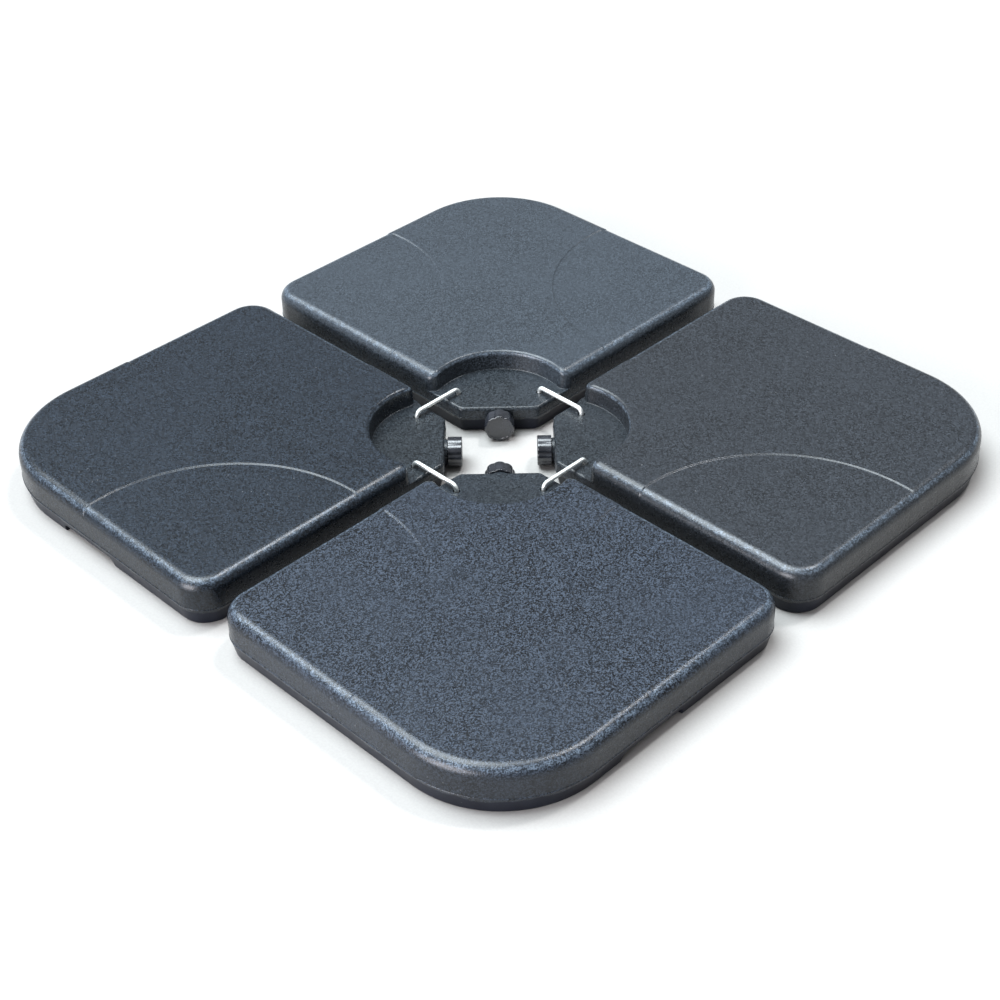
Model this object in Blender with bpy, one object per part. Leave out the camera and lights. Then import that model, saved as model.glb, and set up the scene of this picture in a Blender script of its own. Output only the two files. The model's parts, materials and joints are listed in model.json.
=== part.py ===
"""Parasol base: four ballast tanks that stand round the cross foot of a cantilever parasol.

Units are metres and +Z is up. The origin is the middle of the set, on the ground. The gaps for the cross arms
run along X and Y. Every tank is the same moulding, turned by quarter turns about Z, and is drawn once in the
+X +Y quadrant. Outlines are lists of 2-D points that run anticlockwise.
"""

import math
from collections import namedtuple

import bmesh
import bpy
from mathutils import Matrix, Vector
from mathutils.geometry import delaunay_2d_cdt

# Overall sizes
SET_SIDE = 1.000            # across two tanks and the gap between them
ARM_GAP = 0.028             # between neighbouring tanks, for an arm of the cross
TANK_HEIGHT = 0.068

# Tank plan
OUTER_CORNER_RADIUS = 0.149
SIDE_CORNER_RADIUS = 0.042
HUB_FACE_DISTANCE = 0.0735  # from the set's middle to each tank's filler face
HUB_CORNER_RADIUS = 0.009

# Tank wall
TANK_WALL = 0.003
BASE_INSET = 0.0055         # draft of the wall below the parting line
BASE_FILLET = 0.0025
PARTING_HEIGHT = 0.025
PARTING_RIDGE = 0.0006      # how far the moulding seam stands proud
PARTING_WIDTH = 0.0016
TOP_FILLET = 0.016

# Recess at the inner corner of each tank
RECESS_RADIUS = 0.095
RECESS_CENTRE = 0.055       # X and Y of the recess arc's centre
RECESS_DRAFT = 0.0025
RECESS_TOP_FILLET = 0.006
RECESS_FOOT_FILLET = 0.003
RECESS_CORNER_RADIUS = 0.012
RECESS_CORNER_LEAST = 0.003
NECK_COVER = 0.0022         # floor of the recess above the top of the neck
FLOOR_EDGE_FILLET = 0.003

# Lower areas of the top, one at each side corner
LENS_DROP = 0.0018
LENS_STEP_WIDTH = 0.004
LENS_OUTER_INSET = 0.036    # arc centre from the outer side
LENS_GAP_INSET = 0.011      # arc centre from the gap side
LENS_SHORTFALL = 0.016      # how much the arc's radius falls short of half the tank

# Finger grip under the outer side that runs along X
GRIP_WIDTH = 0.106
GRIP_DEPTH = 0.027
GRIP_HEIGHT = 0.0128
GRIP_CORNER_RADIUS = 0.010
GRIP_TAPER = 0.007          # how far the sides of the grip lean in
GRIP_ALONG = 0.255          # from the set's middle along the side
GRIP_PROFILE = ((0.0, 0.0), (0.35, 0.6), (0.62, 0.9), (1.0, 1.0))  # shares of the taper and of the height

# Filler neck and its thread
NECK_RADIUS = 0.017         # crest of the thread
NECK_BORE_RADIUS = 0.0125
NECK_COLLAR = 0.0030        # plain length next to the filler face
NECK_RIM_CHAMFER = 0.0006
NECK_ROOT_SINK = 0.001      # how far the neck starts behind the lowest part of the wall
THREAD_DEPTH = 0.0014
THREAD_PITCH = 0.004
THREAD_FOOT_WIDTH = 0.0020
THREAD_TIP_WIDTH = 0.0008
THREAD_SINK = 0.0004        # how deep the ridge starts below the wall it stands on
NECK_THREAD_TURNS = 1.5
CAP_THREAD_TURNS = 1.0
THREAD_END_HEIGHT = 0.15    # share of the ridge's height that is left at its ends

# Filler cap
CAP_GAP = 0.0035            # between the filler face and the back of the cap
CAP_LENGTH = 0.019
CAP_END_WALL = 0.0025
CAP_SIDE_WALL = 0.0014      # at the bottom of the notches between lobes
CAP_LOBES = 8
CAP_LOBE_RADIUS = 0.0105
CAP_EDGE_FILLET = 0.0012
CAP_GROUND_CLEARANCE = 0.0004
THREAD_CLEARANCE = 0.0006

# Gasket
GASKET_THICKNESS = 0.002
GASKET_BORE_RADIUS = 0.0115

# Wire clip and its sockets
CLIP_WIRE = 0.006
CLIP_SPAN = 0.080           # between the prongs' centre lines
CLIP_DISTANCE = 0.120       # from the set's middle along the gap
CLIP_STANDOFF = 0.005       # from the recess floor to the underside of the bar
CLIP_REACH = 0.024          # prong below the recess floor
CLIP_BEND_RADIUS = 0.008
CLIP_TIP_CHAMFER = 0.001
SOCKET_CLEARANCE = 0.0015   # round the prong

# Modelling aids
TOOL_OVERSHOOT = 0.01       # how far a cutting tool reaches past the faces it opens
FILLET_MIDDLE = 0.3         # how far the middle ring of a two-step fillet stands in

# Clearances between touching solids
SEAT_GAP = 0.0003
BALLAST_GAP = 0.0005

# Segments
Detail = namedtuple("Detail", "outer_corner side_corner hub_corner recess recess_corner top_fillet socket")
OUTSIDE = Detail(outer_corner=10, side_corner=5, hub_corner=2, recess=10, recess_corner=4, top_fillet=4, socket=12)
INSIDE = Detail(outer_corner=5, side_corner=2, hub_corner=1, recess=7, recess_corner=2, top_fillet=2, socket=8)
LENS_SEGMENTS = 10
ROUND_SEGMENTS = 16
LOBE_SEGMENTS = 4
WIRE_SIDES = 8
WIRE_BEND_SEGMENTS = 4

# Sizes that follow from the ones above
HALF_SIDE = SET_SIDE / 2
GAP_SIDE = ARM_GAP / 2
TANK_SIDE = HALF_SIDE - GAP_SIDE
TANK_CENTRE = GAP_SIDE + TANK_SIDE / 2
LENS_RADIUS = TANK_SIDE / 2 - LENS_SHORTFALL
LENS_CENTRE = Vector((HALF_SIDE - LENS_OUTER_INSET, GAP_SIDE + LENS_GAP_INSET))
NECK_ROOT_RADIUS = NECK_RADIUS - THREAD_DEPTH
CAP_BORE_RADIUS = NECK_RADIUS + THREAD_CLEARANCE
CAP_THREAD_RADIUS = NECK_ROOT_RADIUS + THREAD_CLEARANCE
CAP_NOTCH_RADIUS = CAP_BORE_RADIUS + CAP_SIDE_WALL
CAP_INNER_END = CAP_GAP + CAP_LENGTH - CAP_END_WALL
NECK_LENGTH = CAP_INNER_END - GASKET_THICKNESS - 2 * SEAT_GAP
THREAD_START = (NECK_COLLAR + NECK_LENGTH - NECK_THREAD_TURNS * THREAD_PITCH) / 2
LOBE_HALF_ANGLE = math.pi / CAP_LOBES


def lobe_centre_radius():
    """Distance of each lobe's arc centre from the cap's axis, so that two lobes meet at the notch radius."""
    across = CAP_NOTCH_RADIUS * math.sin(LOBE_HALF_ANGLE)
    along = CAP_NOTCH_RADIUS * math.cos(LOBE_HALF_ANGLE)
    return along - math.sqrt(CAP_LOBE_RADIUS ** 2 - across ** 2)


CAP_RADIUS = lobe_centre_radius() + CAP_LOBE_RADIUS
CAP_AXIS_HEIGHT = CAP_RADIUS + CAP_GROUND_CLEARANCE
RECESS_FLOOR = CAP_AXIS_HEIGHT + NECK_RADIUS + NECK_COVER
CLIP_BAR_HEIGHT = RECESS_FLOOR + CLIP_STANDOFF + CLIP_WIRE / 2
CLIP_TIP_HEIGHT = RECESS_FLOOR - CLIP_REACH
SOCKET_RADIUS = CLIP_WIRE / 2 + SOCKET_CLEARANCE

QUADRANTS = ("right", "back", "left", "front")
CLIP_NAMES = ("clip_front_right", "clip_right_back", "clip_back_left", "clip_left_front")


# ---------------------------------------------------------------------------------------------------------
# Outlines

def unit(degrees):
    """Unit vector at an angle from +X."""
    return Vector((math.cos(math.radians(degrees)), math.sin(math.radians(degrees))))


def arc(centre, radius, start, end, segments):
    """Points on an arc from one angle to another, both ends included."""
    return [centre + radius * unit(start + (end - start) * i / segments) for i in range(segments + 1)]


def round_corner(corner, heading, turn, radius, segments):
    """Points round a left-hand corner that is reached along a heading and left after a turn."""
    start = corner - radius * math.tan(math.radians(turn / 2)) * unit(heading)
    centre = start + radius * unit(heading + 90)
    return arc(centre, radius, heading - 90, heading - 90 + turn, segments)


def swapped(points):
    """Mirror image in the line X = Y, in reverse order so that it still runs anticlockwise."""
    return [Vector((p.y, p.x)) for p in reversed(points)]


def lens_on_gap_side(inset, radius):
    """Where a lens arc meets the gap side that runs along X."""
    line = GAP_SIDE + inset
    return Vector((LENS_CENTRE.x - math.sqrt(radius ** 2 - (line - LENS_CENTRE.y) ** 2), line))


def lens_on_outer_side(inset, radius):
    """Where a lens arc meets the outer side that runs along Y."""
    line = HALF_SIDE - inset
    return Vector((line, LENS_CENTRE.y + math.sqrt(radius ** 2 - (line - LENS_CENTRE.x) ** 2)))


def recess_corner(inset, recess_inset, radius):
    """Centre of the round corner where the recess wall meets the gap side along X."""
    line = GAP_SIDE + inset + radius
    reach = RECESS_RADIUS + recess_inset + radius
    return Vector((RECESS_CENTRE + math.sqrt(reach ** 2 - (RECESS_CENTRE - line) ** 2), line))


def outer_path(inset, recess_end, detail, lens=True):
    """Gap side, outer sides and gap side, from one end of the recess to the other.

    Each point comes with 1 in a lens and 0 outside it.
    """
    step = LENS_RADIUS + LENS_STEP_WIDTH
    low = GAP_SIDE + inset
    high = HALF_SIDE - inset
    side_corner = round_corner(Vector((high, low)), 0, 90, SIDE_CORNER_RADIUS - inset, detail.side_corner)
    outer_corner = round_corner(Vector((high, high)), 90, 90, OUTER_CORNER_RADIUS - inset, detail.outer_corner)
    half = [(Vector((recess_end, low)), 0)]
    if lens:
        half += [(lens_on_gap_side(inset, step), 0), (lens_on_gap_side(inset, LENS_RADIUS), 1)]
    half += [(point, 1) for point in side_corner]
    if lens:
        half += [(lens_on_outer_side(inset, LENS_RADIUS), 1), (lens_on_outer_side(inset, step), 0)]
    mirrored = [(Vector((point.y, point.x)), low_area) for point, low_area in reversed(half)]
    return half + [(point, 0) for point in outer_corner] + mirrored


def hub_path(inset, side_inset, recess_end, detail):
    """Gap side, filler face and gap side below the recess, without its two end points."""
    low = GAP_SIDE + inset
    reach = math.sqrt(2) * (HUB_FACE_DISTANCE + inset)
    radius = HUB_CORNER_RADIUS
    clear = recess_end - RECESS_CORNER_RADIUS
    start = [Vector((GAP_SIDE + side_inset, clear)), Vector((low, clear - 2 * FLOOR_EDGE_FILLET))]
    first = round_corner(Vector((low, reach - low)), 270, 45, radius, detail.hub_corner)
    second = round_corner(Vector((reach - low, low)), 315, 45, radius, detail.hub_corner)
    return start + first + second + swapped(start)


def recess_path(inset, recess_inset, corner_radius, detail):
    """Round corner, recess arc and round corner, without the two end points, with 0 to 1 into the recess.

    The arc's chords stay outside its circle, so a cavity never comes nearer the recess than its offset.
    """
    corner = recess_corner(inset, recess_inset, corner_radius)
    tangent = math.degrees(math.atan2(RECESS_CENTRE - corner.y, RECESS_CENTRE - corner.x))
    into_gap = arc(corner, corner_radius, tangent, 270, detail.recess_corner)
    away = tangent - 180
    half_step = math.radians((90 - 2 * away) / detail.recess / 2)
    radius = (RECESS_RADIUS + recess_inset) / math.cos(half_step)
    bowl = arc(Vector((RECESS_CENTRE, RECESS_CENTRE)), radius, 90 - away, away, detail.recess)
    shares = [i / detail.recess_corner for i in range(1, detail.recess_corner + 1)]
    entry = list(zip(swapped(into_gap)[1:], shares))
    middle = [(point, 1) for point in bowl[1:-1]]
    leave = list(zip(into_gap[:-1], reversed(shares)))
    return entry + middle + leave


# ---------------------------------------------------------------------------------------------------------
# Mesh helpers

def add_loop(bm, points):
    """New vertices for a closed loop."""
    return [bm.verts.new(point) for point in points]


def bridge(bm, lower, upper):
    """Quads between two loops of the same length."""
    count = len(lower)
    for i in range(count):
        after = (i + 1) % count
        bm.faces.new((lower[i], lower[after], upper[after], upper[i]))


def fill(bm, loop, lines=()):
    """Triangles inside a loop of vertices, with lines of vertices across it as edges."""
    verts = list(loop)
    edges = [(i, (i + 1) % len(loop)) for i in range(len(loop))]
    places = {vert: i for i, vert in enumerate(verts)}
    for line in lines:
        for vert in line:
            if vert not in places:
                places[vert] = len(verts)
                verts.append(vert)
        edges += [(places[a], places[b]) for a, b in zip(line, line[1:])]
    flat = [vert.co.to_2d() for vert in verts]
    outline = list(range(len(loop)))
    if sum(flat[i - 1].cross(flat[i]) for i in outline) < 0:
        outline.reverse()
    _, _, triangles, originals, _, _ = delaunay_2d_cdt(flat, edges, [outline], 1, 1e-9)
    for triangle in triangles:
        bm.faces.new([verts[originals[i][0]] for i in triangle])


def mesh_from(bm, name, smooth_angle=30):
    """Finish a closed mesh: faces outward, round parts shaded smooth."""
    bmesh.ops.triangulate(bm, faces=bm.faces[:])
    bmesh.ops.recalc_face_normals(bm, faces=bm.faces[:])
    mesh = bpy.data.meshes.new(name)
    bm.to_mesh(mesh)
    bm.free()
    mesh.shade_smooth()
    mesh.set_sharp_from_angle(angle=math.radians(smooth_angle))
    return mesh


def add_object(name, mesh, material=None):
    """Put a mesh in the scene."""
    item = bpy.data.objects.new(name, mesh)
    bpy.context.scene.collection.objects.link(item)
    if material and not mesh.materials:
        mesh.materials.append(material)
    return item


def cutter(name, mesh):
    """Put a mesh in the scene as a tool for one Boolean."""
    item = add_object(name, mesh)
    item.hide_render = True
    item.display_type = "WIRE"
    return item


def combine(mesh, tool_mesh, operation):
    """Mesh after one exact Boolean with a tool mesh."""
    base = add_object("base", mesh)
    tool = cutter("tool", tool_mesh)
    modifier = base.modifiers.new("Boolean", "BOOLEAN")
    modifier.operation = operation
    modifier.solver = "EXACT"
    modifier.object = tool
    evaluated = base.evaluated_get(bpy.context.evaluated_depsgraph_get())
    result = bpy.data.meshes.new_from_object(evaluated)
    bpy.data.objects.remove(base)
    bpy.data.objects.remove(tool)
    return result


def turned(name, profile, segments=ROUND_SEGMENTS):
    """Solid turned about Z from (radius, height) points, bottom to top."""
    bm = bmesh.new()
    loops = []
    for radius, height in profile:
        angles = [2 * math.pi * i / segments for i in range(segments)]
        loops.append(add_loop(bm, [(radius * math.cos(a), radius * math.sin(a), height) for a in angles]))
    for lower, upper in zip(loops, loops[1:]):
        bridge(bm, lower, upper)
    fill(bm, loops[0])
    fill(bm, loops[-1])
    return mesh_from(bm, name)


def thread_ridge(name, foot, tip, start, turns):
    """Closed helical ridge from a foot radius to a tip radius, with both ends run out into the foot."""
    steps = round(turns * ROUND_SEGMENTS)
    runout = ROUND_SEGMENTS // 5
    bm = bmesh.new()
    loops = []
    for i in range(steps + 1):
        height = min(1.0, i / runout, (steps - i) / runout)
        crest = foot + (tip - foot) * (THREAD_END_HEIGHT + (1 - THREAD_END_HEIGHT) * height)
        angle = 2 * math.pi * (i + 0.5) / ROUND_SEGMENTS
        middle = start + THREAD_PITCH * i / ROUND_SEGMENTS
        section = [(foot, -THREAD_FOOT_WIDTH), (crest, -THREAD_TIP_WIDTH), (crest, THREAD_TIP_WIDTH),
                   (foot, THREAD_FOOT_WIDTH)]
        loops.append(add_loop(bm, [(r * math.cos(angle), r * math.sin(angle), middle + w / 2)
                                   for r, w in section]))
    for lower, upper in zip(loops, loops[1:]):
        bridge(bm, lower, upper)
    bm.faces.new(loops[0])
    bm.faces.new(loops[-1])
    return mesh_from(bm, name)


# ---------------------------------------------------------------------------------------------------------
# Tank

def lower_rings(offset, side):
    """(side inset, filler face inset, height) from the ground to the recess floor, shrunk by an offset."""
    floor = RECESS_FLOOR - offset
    if offset:
        return [(BASE_INSET + offset, BASE_INSET + offset, offset), (offset, offset, PARTING_HEIGHT),
                (side, side, floor)]
    foot = BASE_INSET + BASE_FILLET
    half_width = PARTING_WIDTH / 2
    return [(foot, foot, 0.0), (BASE_INSET, BASE_INSET, BASE_FILLET),
            (PARTING_RIDGE, PARTING_RIDGE, PARTING_HEIGHT - half_width), (0.0, 0.0, PARTING_HEIGHT),
            (PARTING_RIDGE, PARTING_RIDGE, PARTING_HEIGHT + half_width),
            (side, side, floor - FLOOR_EDGE_FILLET), (side, side + FLOOR_EDGE_FILLET, floor)]


def upper_rings(offset, side, detail):
    """Rings from the recess floor to the top, shrunk by an offset.

    Each is (side inset, recess inset, corner radius, side height, recess height, 1 where a lens drops it).
    """
    floor = RECESS_FLOOR - offset
    top = top_height(offset)
    fillet = TOP_FILLET - offset
    recess_fillet = RECESS_TOP_FILLET + offset
    foot = 0.0 if offset else RECESS_FOOT_FILLET
    rise = top - recess_fillet - floor
    lean = RECESS_DRAFT * rise / (rise + recess_fillet)
    rings = [(side, offset - foot, RECESS_CORNER_RADIUS, floor, floor, 0)]
    if foot:
        rings += [(side, offset, RECESS_CORNER_RADIUS, floor + foot, floor + foot, 0)]
    for i in range(detail.top_fillet + 1):
        turn = math.pi / 2 * i / detail.top_fillet
        rolled = 1 - math.cos(turn)
        sunk = 1 - math.sin(turn)
        corner = RECESS_CORNER_RADIUS + (RECESS_CORNER_LEAST - RECESS_CORNER_RADIUS) * rolled
        rings += [(side + fillet * rolled, offset + lean + recess_fillet * rolled, corner,
                   top - fillet * sunk, top - recess_fillet * sunk, 1)]
    return rings


def top_height(offset):
    """Height of the top outside the lenses: the cavity's whole top is plain and lies under the lenses."""
    return TANK_HEIGHT - offset - (LENS_DROP if offset else 0.0)


def moulding(name, offset, detail):
    """Closed body of the tank, shrunk by an offset: 0 is the outside, the wall's thickness the cavity."""
    lens = offset == 0
    side = PARTING_RIDGE if lens else offset
    rings = upper_rings(offset, side, detail)
    end = recess_corner(side, rings[0][1], RECESS_CORNER_RADIUS).x
    shared = len(outer_path(side, end, detail, lens))
    bm = bmesh.new()
    loops = []
    for inset, hub_inset, height in lower_rings(offset, side):
        path = [point for point, _ in outer_path(inset, end, detail, lens)]
        path += hub_path(hub_inset, inset, end, detail)
        loops.append(add_loop(bm, [(p.x, p.y, height) for p in path]))
    for below, above in zip(loops, loops[1:]):
        bridge(bm, below, above)
    fill(bm, loops[0])

    previous = None
    for inset, recess_inset, corner_radius, height, recess_height, drops in rings:
        end = recess_corner(inset, recess_inset, corner_radius).x
        inner = [(p.x, p.y, height + (recess_height - height) * share)
                 for p, share in recess_path(inset, recess_inset, corner_radius, detail)]
        if previous is None:
            previous = loops[-1][:shared] + add_loop(bm, inner)
            fill(bm, loops[-1][shared - 1:] + loops[-1][:1] + list(reversed(previous[shared:])))
            continue
        outer = [(p.x, p.y, height - LENS_DROP * drops * low_area * lens)
                 for p, low_area in outer_path(inset, end, detail, lens)]
        loop = add_loop(bm, outer + inner)
        bridge(bm, previous, loop)
        previous = loop
    fill(bm, previous, lens_lines(bm, previous, rings[-1][0], TANK_HEIGHT) if lens else ())
    return mesh_from(bm, name)


def lens_lines(bm, loop, inset, height):
    """Edges of both lens steps across the top, joined to the top's outline."""
    lines = []
    for radius, drop in ((LENS_RADIUS + LENS_STEP_WIDTH, 0.0), (LENS_RADIUS, LENS_DROP)):
        start = lens_on_gap_side(inset, radius)
        end = lens_on_outer_side(inset, radius)
        first = math.degrees(math.atan2(*(start - LENS_CENTRE).yx)) % 360
        last = math.degrees(math.atan2(*(end - LENS_CENTRE).yx))
        points = arc(LENS_CENTRE, radius, first, last, LENS_SEGMENTS)[1:-1]
        for flip in (False, True):
            ends = [nearest(loop, p.yx if flip else p) for p in (start, end)]
            between = [(p.y, p.x, height - drop) if flip else (p.x, p.y, height - drop) for p in points]
            lines.append([ends[0]] + add_loop(bm, between) + [ends[1]])
    return lines


def nearest(loop, point):
    """Vertex of a loop that is nearest a 2-D point."""
    return min(loop, key=lambda vert: (vert.co.to_2d() - point).length_squared)


def grip(name, offset):
    """Tool that cuts the finger grip under the outer side along X, grown by an offset."""
    half = GRIP_WIDTH / 2 + offset
    depth = GRIP_DEPTH + offset
    height = GRIP_HEIGHT + offset
    radius = GRIP_CORNER_RADIUS + offset
    outer = HALF_SIDE + TOOL_OVERSHOOT
    rings = [(0.0, -TOOL_OVERSHOOT)]
    rings += [(GRIP_TAPER * in_share, height * up_share) for in_share, up_share in GRIP_PROFILE]
    bm = bmesh.new()
    loops = []
    for inset, level in rings:
        left = GRIP_ALONG - half + inset
        right = GRIP_ALONG + half - inset
        inner = HALF_SIDE - depth + inset
        first = round_corner(Vector((left, inner)), 270, 90, radius, 3)
        second = round_corner(Vector((right, inner)), 0, 90, radius, 3)
        outline = first + second + [Vector((right, outer)), Vector((left, outer))]
        loops.append(add_loop(bm, [(p.x, p.y, level) for p in outline]))
    for lower, upper in zip(loops, loops[1:]):
        bridge(bm, lower, upper)
    fill(bm, loops[0])
    fill(bm, loops[-1])
    return mesh_from(bm, name)


def socket(name, mirrored, offset, detail):
    """Tool that cuts one clip socket, grown by an offset."""
    radius = (SOCKET_RADIUS + offset) / math.cos(math.pi / detail.socket)
    bottom = CLIP_TIP_HEIGHT - SEAT_GAP - offset
    mesh = turned(name, [(radius, bottom), (radius, TANK_HEIGHT)], detail.socket)
    place = Vector((CLIP_DISTANCE, CLIP_SPAN / 2))
    if mirrored:
        place = place.yx
    mesh.transform(Matrix.Translation((place.x, place.y, 0)))
    return mesh


def neck_matrix():
    """Frame of the filler neck: its origin on the filler face, its Z towards the set's middle."""
    towards = Vector((-1, -1, 0)).normalized()
    up = Vector((0, 0, 1))
    matrix = Matrix((up.cross(towards), up, towards)).transposed().to_4x4()
    corner = HUB_FACE_DISTANCE / math.sqrt(2)
    matrix.translation = Vector((corner, corner, CAP_AXIS_HEIGHT))
    return matrix


def neck():
    """Solid filler neck with its thread, rooted inside the tank's wall."""
    body = turned("neck", [(NECK_RADIUS, -BASE_INSET - NECK_ROOT_SINK), (NECK_RADIUS, NECK_COLLAR),
                           (NECK_ROOT_RADIUS, NECK_COLLAR + THREAD_DEPTH / 2),
                           (NECK_ROOT_RADIUS, NECK_LENGTH - NECK_RIM_CHAMFER),
                           (NECK_ROOT_RADIUS - NECK_RIM_CHAMFER, NECK_LENGTH)])
    ridge = thread_ridge("neck_thread", NECK_ROOT_RADIUS - THREAD_SINK, NECK_RADIUS, THREAD_START,
                         NECK_THREAD_TURNS)
    return combine(body, ridge, "UNION")


def hollowed(mesh, offset, detail):
    """Cut the finger grip and both clip sockets, grown by an offset."""
    mesh = combine(mesh, grip("grip", offset), "DIFFERENCE")
    for mirrored in (False, True):
        mesh = combine(mesh, socket("socket", mirrored, offset, detail), "DIFFERENCE")
    return mesh


def tank_mesh():
    """The whole tank: a hollow moulding whose cavity opens through the filler neck."""
    shell = hollowed(moulding("tank", 0.0, OUTSIDE), 0.0, OUTSIDE)
    spout = neck()
    spout.transform(neck_matrix())
    shell = combine(shell, spout, "UNION")
    shell = combine(shell, cavity("cavity", TANK_WALL), "DIFFERENCE")
    bore_reach = BASE_INSET + 3 * TANK_WALL
    bore = turned("bore", [(NECK_BORE_RADIUS, -bore_reach), (NECK_BORE_RADIUS, NECK_LENGTH + TOOL_OVERSHOOT)])
    bore.transform(neck_matrix())
    return combine(shell, bore, "DIFFERENCE")


def cavity(name, offset):
    """Inside of the tank at an offset from its outside."""
    return hollowed(moulding(name, offset, INSIDE), offset, INSIDE)


# ---------------------------------------------------------------------------------------------------------
# Cap, gasket and clip

def lobed_loop(bm, inset, height):
    """One ring of the cap's outline, eight lobes with a notch between neighbours."""
    centre_radius = lobe_centre_radius()
    across = CAP_NOTCH_RADIUS * math.sin(LOBE_HALF_ANGLE)
    half_sweep = math.asin(across / CAP_LOBE_RADIUS)
    points = []
    for lobe in range(CAP_LOBES):
        middle = 2 * math.pi * lobe / CAP_LOBES
        centre = Vector((centre_radius * math.cos(middle), centre_radius * math.sin(middle)))
        for i in range(LOBE_SEGMENTS):
            angle = middle - half_sweep + 2 * half_sweep * i / LOBE_SEGMENTS
            point = centre + CAP_LOBE_RADIUS * Vector((math.cos(angle), math.sin(angle)))
            point *= 1 - inset / CAP_RADIUS
            points.append((point.x, point.y, height))
    return add_loop(bm, points)


def cap_mesh():
    """Lobed screw cap with its inner thread; its frame is the neck's."""
    back = CAP_GAP
    front = CAP_GAP + CAP_LENGTH
    round_off = CAP_EDGE_FILLET
    bm = bmesh.new()
    loops = [lobed_loop(bm, inset, height) for inset, height in
             ((round_off / 2, back), (0.0, back + round_off / 2), (0.0, front - round_off),
              (round_off * FILLET_MIDDLE, front - round_off * FILLET_MIDDLE), (round_off, front))]
    for lower, upper in zip(loops, loops[1:]):
        bridge(bm, lower, upper)
    fill(bm, loops[0])
    fill(bm, loops[-1])
    body = mesh_from(bm, "cap")
    bore = turned("cap_bore", [(CAP_BORE_RADIUS, back - TOOL_OVERSHOOT), (CAP_BORE_RADIUS, CAP_INNER_END)])
    body = combine(body, bore, "DIFFERENCE")
    ridge = thread_ridge("cap_thread", CAP_BORE_RADIUS + THREAD_SINK, CAP_THREAD_RADIUS,
                         THREAD_START + THREAD_PITCH / 2, CAP_THREAD_TURNS)
    return combine(body, ridge, "UNION")


def gasket_mesh():
    """Washer between the neck's rim and the cap's end; its frame is the neck's."""
    low = NECK_LENGTH + SEAT_GAP
    high = low + GASKET_THICKNESS
    outer = CAP_BORE_RADIUS * math.cos(math.pi / ROUND_SEGMENTS) - SEAT_GAP
    bm = bmesh.new()
    loops = []
    for radius, height in ((GASKET_BORE_RADIUS, low), (outer, low), (outer, high), (GASKET_BORE_RADIUS, high)):
        angles = [2 * math.pi * i / ROUND_SEGMENTS for i in range(ROUND_SEGMENTS)]
        loops.append(add_loop(bm, [(radius * math.cos(a), radius * math.sin(a), height) for a in angles]))
    for lower, upper in zip(loops, loops[1:] + loops[:1]):
        bridge(bm, lower, upper)
    return mesh_from(bm, "gasket")


def clip_mesh():
    """Bent wire: a bar along Y through the origin, with a prong down at each end."""
    half = CLIP_SPAN / 2
    bend = CLIP_BEND_RADIUS
    tip = CLIP_TIP_HEIGHT - CLIP_BAR_HEIGHT
    path = [(half, tip, 90), (half, tip + CLIP_TIP_CHAMFER, 90)]
    for i in range(WIRE_BEND_SEGMENTS + 1):
        angle = 90 * i / WIRE_BEND_SEGMENTS
        path.append((half - bend + bend * unit(angle).x, -bend + bend * unit(angle).y, angle + 90))
    path += [(-y, z, 360 - heading) for y, z, heading in reversed(path)]
    thick = CLIP_WIRE / 2
    bm = bmesh.new()
    loops = []
    for i, (y, z, heading) in enumerate(path):
        radius = thick - CLIP_TIP_CHAMFER if i in (0, len(path) - 1) else thick
        side = unit(heading - 90)
        ring = []
        for k in range(WIRE_SIDES):
            turn = 2 * math.pi * (k + 0.5) / WIRE_SIDES
            away = radius * math.cos(turn)
            ring.append((radius * math.sin(turn), y + away * side.x, z + away * side.y))
        loops.append(add_loop(bm, ring))
    for lower, upper in zip(loops, loops[1:]):
        bridge(bm, lower, upper)
    fill(bm, loops[0])
    fill(bm, loops[-1])
    return mesh_from(bm, "clip")


# ---------------------------------------------------------------------------------------------------------
# Scene

def finish(name, colour, roughness, metallic=0.0):
    """Principled material."""
    material = bpy.data.materials.new(name)
    material.use_nodes = True
    shader = material.node_tree.nodes["Principled BSDF"]
    shader.inputs["Base Color"].default_value = (*colour, 1.0)
    shader.inputs["Roughness"].default_value = roughness
    shader.inputs["Metallic"].default_value = metallic
    return material


def clear_scene():
    """Remove whatever the scene holds."""
    for item in list(bpy.data.objects):
        bpy.data.objects.remove(item)


def main():
    clear_scene()
    tank_plastic = finish("tank_plastic", (0.062, 0.070, 0.082), 0.55)
    cap_plastic = finish("cap_plastic", (0.012, 0.013, 0.016), 0.28)
    gasket_rubber = finish("gasket_rubber", (0.02, 0.02, 0.02), 0.8)
    clip_zinc = finish("clip_zinc", (0.72, 0.74, 0.76), 0.3, 1.0)
    ballast_sand = finish("ballast_sand", (0.52, 0.42, 0.28), 0.95)

    centre = Vector((TANK_CENTRE, TANK_CENTRE, 0))
    to_centre = Matrix.Translation(-centre)
    tank = tank_mesh()
    tank.transform(to_centre)
    fill_mesh = cavity("ballast", TANK_WALL + BALLAST_GAP)
    fill_mesh.transform(to_centre)
    cap = cap_mesh()
    gasket = gasket_mesh()
    clip = clip_mesh()

    for k, quadrant in enumerate(QUADRANTS):
        turn = Matrix.Rotation(math.radians(90 * k), 4, "Z")
        standing = turn @ Matrix.Translation(centre)
        add_object("tank_" + quadrant, tank, tank_plastic).matrix_world = standing
        add_object("ballast_" + quadrant, fill_mesh, ballast_sand).matrix_world = standing
        screwed = turn @ neck_matrix()
        add_object("cap_" + quadrant, cap, cap_plastic).matrix_world = screwed
        add_object("gasket_" + quadrant, gasket, gasket_rubber).matrix_world = screwed
        hooked = turn @ Matrix.Translation((CLIP_DISTANCE, 0, CLIP_BAR_HEIGHT))
        add_object(CLIP_NAMES[k], clip, clip_zinc).matrix_world = hooked


main()
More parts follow.
